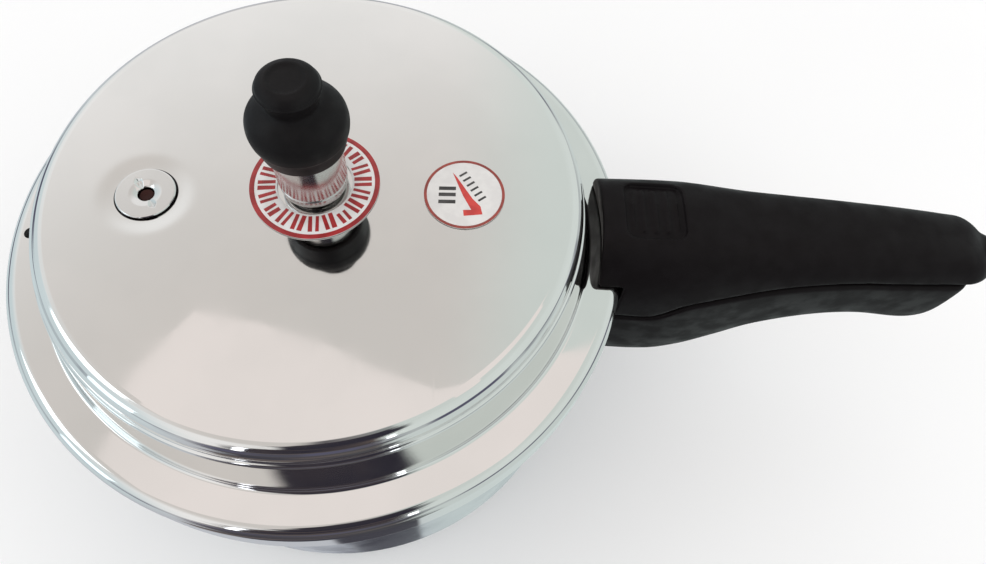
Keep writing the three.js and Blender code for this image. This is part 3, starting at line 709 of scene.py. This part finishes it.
lid_plate = (SKIRT_BOTTOM + 1, WIDE_Z - 0.2)
pot_plate = (WIDE_Z - 52, WIDE_Z - 26)
for name, body, wall_r, (low, high), tongue_z, tongue_end in (
        ("lid_handle_bracket", "lid", LID_R, lid_plate, LID_TONGUE_Z, LID_TONGUE_END),
        ("pot_handle_bracket", "pot", POT_R, pot_plate, POT_TONGUE_Z, POT_TONGUE_END)):
    field = bracket_field(wall_r, low, high, tongue_z, tongue_end)
    finished(implicit(name + "_plate", field, lowest(name) - 1, highest(name) + 1, 0.5),
             CAST_ALUMINIUM, body, "aluminium", name)


def rivet(name, body, wall_r, inner_end, side, z, domed_inside):
    """A domed rivet through a wall, drawn upright and then laid along its radius."""
    def dome(base, way):
        tip = base + way * RIVET_HEAD_H
        return [(RIVET_R, base, 0), (RIVET_HEAD_R, base, 0.2), (RIVET_HEAD_R - 0.3, base + way, 0.8),
                (RIVET_HEAD_R - 2, tip, 1.2), (0, tip, 0)]

    head = dome(wall_r + 2 * GAP + SHEET, 1)
    flat_foot = [(0, inner_end, 0), (RIVET_R, inner_end, 0.2)]
    foot = dome(inner_end - GAP, -1)[::-1] if domed_inside else flat_foot
    outline = rounded(foot + head, closed=False)
    obj = turned(name + "_dome", outline, 48, closed=False)
    angle = math.asin(side * RIVET_SIDE / wall_r)
    obj.data.transform(Matrix.Translation((0, 0, z * MM)) @ Matrix.Rotation(angle, 4, "Z")
                       @ Matrix.Rotation(math.pi / 2, 4, "Y"))
    finished(obj, CAST_ALUMINIUM, body, "aluminium", name)


for side_name, side in (("left", 1), ("right", -1)):
    rivet("pot_rivet_" + side_name, "pot", POT_R, POT_R - POT_WALL, side, POT_RIVET_Z, True)
    rivet("lid_rivet_" + side_name, "lid", LID_R, SKIRT_IN_R + GAP, side, LID_RIVET_Z, False)


def screw_field(at_x, low, high):
    """A slotted screw, head down, with its thread."""
    head_high = low + 2.4

    def field(x, y, z):
        r = np.hypot(x - at_x, y)
        head = soft_max(r - 4, np.maximum(low - z, z - head_high), 0.9)
        shank = r - 1.9 - 0.12 * np.cos(z / 0.7 * math.pi * 2 - np.arctan2(y, x - at_x))
        shank = np.maximum(shank, head_high - 0.5 - z)
        slot = np.maximum(np.abs(y) - 0.5, z - low - 0.85)
        return np.maximum(np.maximum(soft_min(head, shank, 0.2), -slot), z - high)
    return field


for name, body, at_x in (("lid_handle_screw", "lid", LID_SCREW_X), ("pot_handle_screw", "pot", POT_SCREW_X)):
    low, high = lowest(name), highest(name)
    finished(implicit(name + "_steel", screw_field(at_x, low[2], high[2]), low, high, 0.22),
             STEEL, body, "steel", name)


# ---------- Vent and safety plug ----------
vent_low = lowest("vent_tube")[2]
vent_base = LID_TOP + GAP
finished(turned("vent_tube_steel", supported(rounded([
    (1.4, vent_low, 0.3), (SHANK_R, vent_low, 0.6), (SHANK_R, vent_base, 0.2), (8.5, vent_base, 0.2),
    (8.5, vent_base + 0.7, 0.2), (4.5, vent_base + 1.0, 0.3), (4.5, VENT_SEAT - 1, 0.5),
    (3.5, VENT_SEAT, 0.3), (1.4, VENT_SEAT, 0.2)]))), STEEL, "lid", "steel", "vent_tube")


def nut_field(centre, low, high):
    """A hexagon nut with turned-off corners and a plain hole."""
    def field(x, y, z):
        x, y = x - centre[0], y - centre[1]
        flats = np.maximum.reduce([np.abs(x * math.cos(a) + y * math.sin(a))
                                   for a in np.radians([30, 90, 150])]) - 9 * math.cos(math.pi / 6)
        r = np.hypot(x, y)
        cone = r - 8.6 + np.maximum(0, np.maximum(low + 1 - z, z - high + 1)) * 0.9 - 0.5
        body = soft_max(soft_max(flats, cone, 0.3), np.maximum(low - z, z - high), 0.3)
        return np.maximum(body, HOLE_R - r)
    return field


for name, look, kind in (("vent_nut", BRASS, "brass"), ("safety_nut", STEEL, "steel")):
    low, high = lowest(name), highest(name)
    shape = nut_field((low + high) / 2, low[2], high[2])
    finished(implicit(name + "_hex", shape, low, high, 0.35), look, "lid", kind, name)

for name in ("vent_washer", "safety_washer"):
    low, high = lowest(name), highest(name)
    obj = turned(name + "_rubber", supported(rounded([
        (HOLE_R, low[2], 0.3), (9, low[2], 0.5), (9, high[2], 0.5), (HOLE_R, high[2], 0.3)])), 64)
    centre = (low + high) / 2
    finished(shifted(obj, centre[0], centre[1]), RUBBER, "lid", "rubber", name)

PLUG_TOP = highest("safety_plug")[2]
PLUG_LOW = lowest("safety_plug")[2]
PLUG_SEAT = PLUG_TOP - 1.6
SLOT_ANGLE = math.radians(-53)


def plug_field(x, y, z):
    """The plug: a disc with a dish and a slot in it, on a shank."""
    x, y = x - PLUG[0], y - PLUG[1]
    r = np.hypot(x, y)
    head = soft_max(r - PLUG_R, np.maximum(PLUG_SEAT - z, z - PLUG_TOP), 0.45)
    shank = soft_max(r - SHANK_R, PLUG_LOW - z, 0.5)
    body = np.minimum(head, np.maximum(shank, z - PLUG_SEAT - 0.5))
    dip = 2.7 + 2.4 * np.clip((z - PLUG_TOP + 0.9) / 0.9, 0, 2) ** 1.6 - r
    along = x * math.cos(SLOT_ANGLE) + y * math.sin(SLOT_ANGLE)
    across = y * math.cos(SLOT_ANGLE) - x * math.sin(SLOT_ANGLE)
    deep = 1.1 * (1 - smooth_step(np.abs(along), 5.4, 7.4))
    slot = (z - PLUG_TOP + deep - 0.8 * np.abs(across)) / 1.28
    return soft_max(soft_max(body, dip, 0.25), slot, 0.12)


finished(implicit("safety_plug_disc", plug_field, lowest("safety_plug"), highest("safety_plug"), 0.2),
         ALUMINIUM, "lid", "steel", "safety_plug")
fuse_low, fuse_high = lowest("safety_fuse")[2], highest("safety_fuse")[2]
fuse = turned("safety_fuse_core", supported(rounded([
    (0, fuse_low, 0), (FUSE_R, fuse_low, 0.2), (FUSE_R, fuse_high, 0.5), (0, fuse_high - 0.5, 0)],
    closed=False), closed=False), 48, closed=False)
finished(shifted(fuse, PLUG[0], PLUG[1]), ALLOY, "lid", "fusible_alloy", "safety_fuse")


# ---------- Labels ----------
LABEL_Z = lowest("vent_label")[2]
LABEL_TOP = highest("vent_label")[2]
INK = 0.05                                    # how far the print stands on the film
EDGE = 0.02                                   # rounding of the film's edge
VENT_LABEL_R = highest("vent_label")[0]
CHECK_MID = (lowest("inspection_label") + highest("inspection_label")) / 2
CHECK_R = highest("inspection_label")[0] - CHECK_MID[0]


def slab(outline, low, high):
    """The vertices and faces of a flat outline with a thickness."""
    count = len(outline)
    ring_low = [(x, y, low) for x, y in outline]
    ring_high = [(x, y, high) for x, y in outline]
    sides = [(i, (i + 1) % count, count + (i + 1) % count, count + i) for i in range(count)]
    return ring_low + ring_high, sides + [tuple(range(count))[::-1], tuple(range(count, 2 * count))]


def flat_piece(name, outlines, low, high):
    """One mesh of several flat shapes."""
    vertices, faces = [], []
    for outline in outlines:
        v, f = slab(outline, low, high)
        faces += [tuple(i + len(vertices) for i in face) for face in f]
        vertices += v
    obj = mesh_object(name, vertices, faces)
    obj.data.shade_flat()
    return obj


def ring_piece(name, in_r, out_r, low, high, centre=(0, 0)):
    obj = turned(name, rounded([(in_r, low, EDGE), (out_r, low, EDGE), (out_r, high, EDGE),
                                (in_r, high, EDGE)], steps=2), 128)
    return shifted(obj, centre[0], centre[1])


finished(ring_piece("vent_label_film", 12.6, VENT_LABEL_R, LABEL_Z, LABEL_TOP - INK),
         WHITE_FILM, "lid", "label_red", "vent_label")
finished(ring_piece("vent_label_ring", VENT_LABEL_R - 1.7, VENT_LABEL_R - EDGE, LABEL_TOP - INK, LABEL_TOP),
         RED_INK, "lid", "label_red")
# Plain radial dashes stand where the real label has words.
dashes = []
DASHES = 20
for i in range(DASHES):
    a = 2 * math.pi * (i + 0.3) / DASHES
    short = 1.6 if i % 5 == 2 else 0
    for middle, half in ((-1.15, 0.72), (1.15, 0.6 if i % 2 else 0.85)):
        in_r, out_r = VENT_LABEL_R - 8.7 + short, VENT_LABEL_R - 2.8
        corners = [(in_r, middle - 0.85 * half), (out_r, middle - half),
                   (out_r, middle + half), (in_r, middle + 0.85 * half)]
        dashes.append([(r * math.cos(a) - s * math.sin(a), r * math.sin(a) + s * math.cos(a))
                       for r, s in corners])
finished(flat_piece("vent_label_dashes", dashes, LABEL_TOP - INK, LABEL_TOP), RED_INK, "lid", "label_red")

disc = turned("inspection_label_film", rounded([
    (0, LABEL_Z, 0), (CHECK_R, LABEL_Z, EDGE), (CHECK_R, LABEL_TOP - INK, EDGE), (0, LABEL_TOP - INK, 0)],
    closed=False, steps=2), 128, closed=False)
shifted(disc, CHECK_MID[0], CHECK_MID[1])
finished(disc, CLEAR_FILM, "lid", "label_clear", "inspection_label")
finished(ring_piece("inspection_label_ring", CHECK_R - 1.0, CHECK_R - EDGE, LABEL_TOP - INK, LABEL_TOP,
                    CHECK_MID), BROWN_INK, "lid", "label_clear")


def on_label(points):
    return [(CHECK_MID[0] + x, CHECK_MID[1] + y) for x, y in points]


# A plain tick with two rows of dark dashes where the real label has words.
tick = [(-4.3, 8.5), (-2.9, 6.8), (2.8, -1.9), (5.6, -4.9), (6.3, -8.0), (0.0, -8.9), (-0.3, -6.6),
        (2.5, -6.4), (-0.6, -0.6)]
finished(flat_piece("inspection_label_tick", [on_label(tick)], LABEL_TOP - INK, LABEL_TOP),
         TICK_INK, "lid", "label_clear")
dark = [[(-8.8, y), (-3.0, y + 0.2), (-3.0, y + 1.6), (-8.8, y + 1.4)] for y in (-4.3, -1.4, 1.1)]
for i in range(6):
    x, y = -0.9 + 1.35 * i, 8.4 - 1.95 * i
    dark.append([(x - 1.25, y - 1.0), (x + 1.25, y + 0.9), (x + 1.7, y + 0.3), (x - 0.8, y - 1.6)])
finished(flat_piece("inspection_label_dashes", [on_label(mark) for mark in dark], LABEL_TOP - INK, LABEL_TOP),
         DARK_INK, "lid", "label_clear")


# ---------- Weight ----------
CLIP_LOW, CLIP_HIGH = lowest("retaining_clip")[2], highest("retaining_clip")[2]
BORE_R = 5.2
finished(turned("retaining_clip_ring", supported(rounded([
    (4.8, CLIP_LOW, 0.4), (6.3, CLIP_LOW, 0.4), (6.3, CLIP_HIGH, 0.4), (4.8, CLIP_HIGH, 0.4)])), 64),
    STEEL, "clip", "steel", "retaining_clip")

weight = supported(rounded([
    (BORE_R, WEIGHT_LOW, 0.3), (WEIGHT_R - 0.4, WEIGHT_LOW, 1.3), (WEIGHT_R - 0.15, WEIGHT_LOW + 3.6, 0.3),
    (WEIGHT_R - 0.7, WEIGHT_LOW + 3.9, 0.12), (WEIGHT_R - 0.7, WEIGHT_LOW + 4.4, 0.12),
    (WEIGHT_R - 0.1, WEIGHT_LOW + 4.7, 0.3), (WEIGHT_R, WEIGHT_TOP, 0.4), (2.5, WEIGHT_TOP, 0.2),
    (2.5, VENT_SEAT + 1.6, 0.2), (BORE_R, VENT_SEAT + 1.6, 0.2), (BORE_R, CLIP_HIGH + GAP, 0.1),
    (6.6, CLIP_HIGH + GAP, 0.1), (6.6, CLIP_LOW - GAP, 0.1), (BORE_R, CLIP_LOW - GAP, 0.1)]))
finished(turned("weight_body_steel", weight, 128), STEEL, "weight", "steel", "weight_body")

pin_tip = lowest("valve_pin")[2]
pin_top = highest("valve_pin")[2]
finished(turned("valve_pin_steel", supported(rounded([
    (0, pin_tip, 0), (1.1, pin_tip + 1.5, 0.4), (2.2, pin_tip + 3.4, 0.5), (2.2, pin_top, 0.3),
    (0, pin_top, 0)],
    closed=False), closed=False), 48, closed=False), STEEL, "weight", "steel", "valve_pin")

height = COVER_TOP - COVER_LOW
belly_r = highest("weight_cover")[0]
# Radii of the cover, with their heights as shares of its whole height.
belly = [(13.5, 0.3 / height), (14.2, 0.11), (14.85, 0.21), (15.3, 0.255), (belly_r, 0.36),
         (belly_r - 0.8, 0.47)]
knob = [(11.8, 0.575), (8.8, 0.65), (8.2, 0.7), (8.9, 0.8), (9.55, 0.865), (9.7, 0.883), (9.35, 0.9),
        (8.9, 0.94), (7.6, 0.98), (6.1, 1)]
cover_out = spline([(r, COVER_LOW + part * height) for r, part in belly + knob], 7)
socket_r = WEIGHT_R + GAP
cover = np.vstack([
    rounded([(socket_r, COVER_LOW + 1, 0), (socket_r, COVER_LOW, 0.4), (13.3, COVER_LOW, 0.25),
             tuple(cover_out[0]) + (0,)], closed=False),
    cover_out,
    rounded([(6.1, COVER_TOP, 0), (5.6, COVER_TOP - 0.1, 0.3), (4.6, COVER_TOP - 0.6, 2.0),
             (0, COVER_TOP - 0.8, 0)], closed=False),
    [(0, WEIGHT_TOP + GAP), (socket_r, WEIGHT_TOP + GAP)]])
finished(turned("weight_cover_knob", cover, 128), COVER_BLACK, "weight", "phenolic", "weight_cover")


# ---------- Floor, light and camera ----------
def floor():
    bpy.ops.mesh.primitive_circle_add(vertices=64, radius=9, fill_type="NGON", location=(0, 0, -0.0006))
    obj = bpy.context.object
    obj.name = "floor"
    look, tree, shader, where = new_look("pale_floor")
    tint = between(tree, noise(tree, where, 3, 2), 0, 1)
    shade = blended(tree, tint, (0.93, 0.93, 0.93), (0.915, 0.915, 0.915))
    tree.links.new(shade, shader.inputs["Base Color"])
    shader.inputs["Roughness"].default_value = 0.9
    shader.inputs["Specular IOR Level"].default_value = 0.1
    obj.data.materials.append(look)
    obj.visible_glossy = False


def panel(name, at, aim, size, radiance, colour=(1, 1, 1)):
    """A soft rectangular light, with its brightness given as radiance."""
    data = bpy.data.lights.new(name, "AREA")
    data.shape = "RECTANGLE"
    data.size, data.size_y = size
    data.energy = radiance * math.pi * size[0] * size[1]
    data.color = colour
    obj = bpy.data.objects.new(name, data)
    bpy.context.collection.objects.link(obj)
    obj.location = at
    obj.rotation_euler = (Vector(aim) - Vector(at)).to_track_quat("-Z", "Y").to_euler()
    return obj


def ceiling_card():
    """A brighter card over the near side of the lid, whose edge shows in the polished top."""
    outline = [(-0.486, 0.451), (-0.35, 0.432), (-0.205, 0.387), (-0.1, 0.335), (0.012, 0.299), (0.10, 0.325),
               (0.20, 0.385), (0.42, 0.45), (0.6, -0.3), (-0.75, -0.3), (-0.62, 0.20), (-0.58, 0.32)]
    mesh = bpy.data.meshes.new("ceiling_card")
    mesh.from_pydata([(x, y, 1.3) for x, y in outline], [], [tuple(range(len(outline)))])
    look = bpy.data.materials.new("ceiling_card")
    look.use_nodes = True
    tree = look.node_tree
    tree.nodes.clear()
    glow = add(tree, "ShaderNodeEmission", Color=(0.83, 0.78, 0.755, 1), Strength=1.0)
    tree.links.new(glow.outputs[0], add(tree, "ShaderNodeOutputMaterial").inputs["Surface"])
    mesh.materials.append(look)
    obj = bpy.data.objects.new("ceiling_card", mesh)
    bpy.context.collection.objects.link(obj)
    obj.visible_camera = False


def surroundings():
    """A pale room: duller overhead, cooler at both sides, and dark along the horizon and at the near side."""
    world = bpy.data.worlds.new("studio")
    bpy.context.scene.world = world
    world.use_nodes = True
    tree = world.node_tree
    tree.nodes.clear()
    where = add(tree, "ShaderNodeTexCoord").outputs["Generated"]
    x, y, z = add(tree, "ShaderNodeSeparateXYZ", Vector=where).outputs
    sky = blended(tree, between(tree, z, 0, 1, 0.62, 0.88), (0.88, 0.88, 0.875), (0.645, 0.62, 0.595))
    sky = blended(tree, between(tree, z, 1, 0, -0.25, 0.12), sky, (0.50, 0.52, 0.56))
    sky = blended(tree, between(tree, x, 1, 0, -0.9, -0.5), sky, (0.62, 0.72, 0.75))
    sky = blended(tree, between(tree, x, 0, 0.8, -0.04, 0.14), sky, (0.62, 0.70, 0.675))
    # How far a direction lies to the right of the near side, with streaks in it.
    ahead = maths(tree, "MULTIPLY", y, -1.0)
    side = maths(tree, "DIVIDE", x, maths(tree, "MAXIMUM", ahead, 0.02))
    streaks = noise(tree, where, 2.4, 4, (0.5, 0.5, 5))
    side = maths(tree, "SUBTRACT", maths(tree, "MULTIPLY_ADD", streaks, 0.9, side), 0.45)
    # The dark figure of someone who stands there reaches further to the left the lower it is.
    past_left = maths(tree, "SUBTRACT", side, maths(tree, "MULTIPLY_ADD", z, 0.2, -0.62))
    dark = maths(tree, "MULTIPLY", between(tree, past_left, 0, 1, -0.08, 0.08),
                 between(tree, side, 1, 0, 0.36, 0.48))
    dark = maths(tree, "MULTIPLY", dark, between(tree, z, 1, 0, 0.92, 0.985))
    dark = maths(tree, "MULTIPLY", dark, between(tree, ahead, 0, 1, 0.02, 0.14))
    dark = maths(tree, "MULTIPLY", dark, between(tree, z, 0.94, 1, 0.05, 0.35))
    lighter = between(tree, streaks, 0, 1, 0.45, 0.68)
    figure = blended(tree, lighter, (0.028, 0.026, 0.038), (0.12, 0.095, 0.085))
    sky = blended(tree, dark, sky, figure)
    uneven = between(tree, noise(tree, where, 1.7, 3, (1, 1, 2.5)), 0.3, 1, 0.4, 0.56)
    horizon = maths(tree, "MULTIPLY", between(tree, maths(tree, "ABSOLUTE", z), 1, 0, 0.05, 0.17), uneven)
    sky = blended(tree, horizon, sky, (0.10, 0.10, 0.15))
    # Only reflections see the room: everything else gets an even white light.
    seen = add(tree, "ShaderNodeLightPath").outputs["Is Glossy Ray"]
    sky = blended(tree, seen, (1.07, 1.07, 1.07), sky)
    back = add(tree, "ShaderNodeBackground", Color=sky, Strength=1.0)
    out = add(tree, "ShaderNodeOutputWorld")
    tree.links.new(back.outputs[0], out.inputs["Surface"])


def camera():
    """The photograph's place and angle, from the two rings of the lid and the length of the handle."""
    turn, rise, roll = math.radians(-6.18), math.radians(63.21), math.radians(7.8)
    back = Vector((math.sin(turn) * math.cos(rise), -math.cos(turn) * math.cos(rise), math.sin(rise)))
    right = Vector((math.cos(turn), math.sin(turn), 0))
    up = back.cross(right)
    across = math.cos(roll) * right + math.sin(roll) * up
    upward = -math.sin(roll) * right + math.cos(roll) * up
    data = bpy.data.cameras.new("camera")
    data.sensor_width = 36
    data.lens = 25.85
    data.clip_start = 0.01
    obj = bpy.data.objects.new("camera", data)
    bpy.context.collection.objects.link(obj)
    obj.matrix_world = Matrix.Translation((0.05007, -0.13723, 0.35148)) @ Matrix(
        (across, upward, back)).transposed().to_4x4()
    bpy.context.scene.camera = obj


floor()
surroundings()
ceiling_card()
panel("key_light", (1.1, -0.2, 1.4), (0.1, 0, 0.05), (0.7, 0.7), 0.9).visible_glossy = False
panel("fill_light", (-1.2, -0.1, 1.2), (0, 0, 0.05), (0.5, 0.5), 1.2, (0.9, 0.96, 1))
panel("left_strip", (-0.42, -0.95, 0.52), (0, 0, 0.1), (0.06, 0.4), 2.2, (0.88, 0.93, 1))
panel("right_strip", (0.38, -0.98, 0.42), (0, 0, 0.1), (0.05, 0.3), 2.2, (0.9, 0.94, 1))
panel("left_window", (-1.0, -0.55, 0.3), (0, 0, 0.12), (0.3, 0.45), 0.8, (0.8, 0.93, 1))
camera()
bpy.context.scene.view_settings.view_transform = "Standard"
